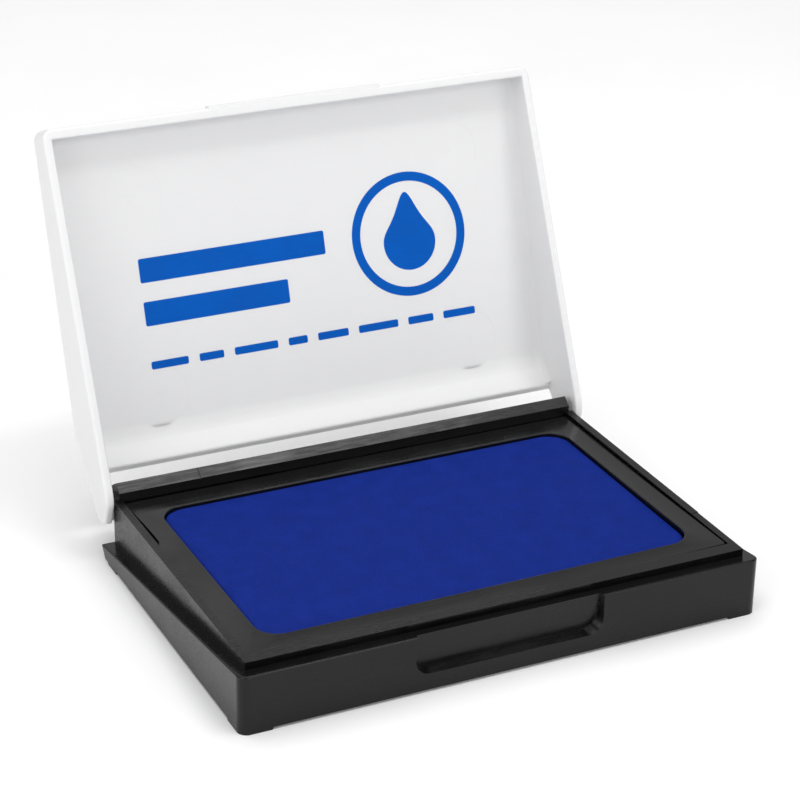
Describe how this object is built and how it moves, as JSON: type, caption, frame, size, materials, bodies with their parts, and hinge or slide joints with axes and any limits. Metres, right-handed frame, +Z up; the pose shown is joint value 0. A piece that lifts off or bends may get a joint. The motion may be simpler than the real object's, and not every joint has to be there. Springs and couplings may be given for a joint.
{
  "type": "ink pad",
  "caption": "Hinged ink pad: wedge-shaped tray with a framed, cloth-covered inked felt and a shallow lid that swings up on rear ears.",
  "frame": {"origin": "centre of the casing's footprint, on the table", "axes": "+X across the width, +Y from the front towards the hinge, +Z up"},
  "size_m": [0.1, 0.0986, 0.0756],
  "materials": {
    "casing": "satin black moulding",
    "frame": "smooth black moulding",
    "inked_cloth": "ink-soaked plain weave",
    "inked_felt": "ink-soaked felt",
    "board": "plain",
    "lid": "satin white moulding"
  },
  "bodies": {
    "casing": {"base_tray": "casing", "pad_frame": "frame", "ink_cloth": "inked_cloth", "felt_core": "inked_felt", "backing_board": "board"},
    "cover": {"lid": "lid"}
  },
  "joints": [
    {"name": "lid_hinge", "type": "hinge", "parent": "casing", "child": "cover", "pos_m": [0, 0.0361, 0.00931], "axis": [1, 0, 0], "range_deg": [0, 107.4]}
  ]
}
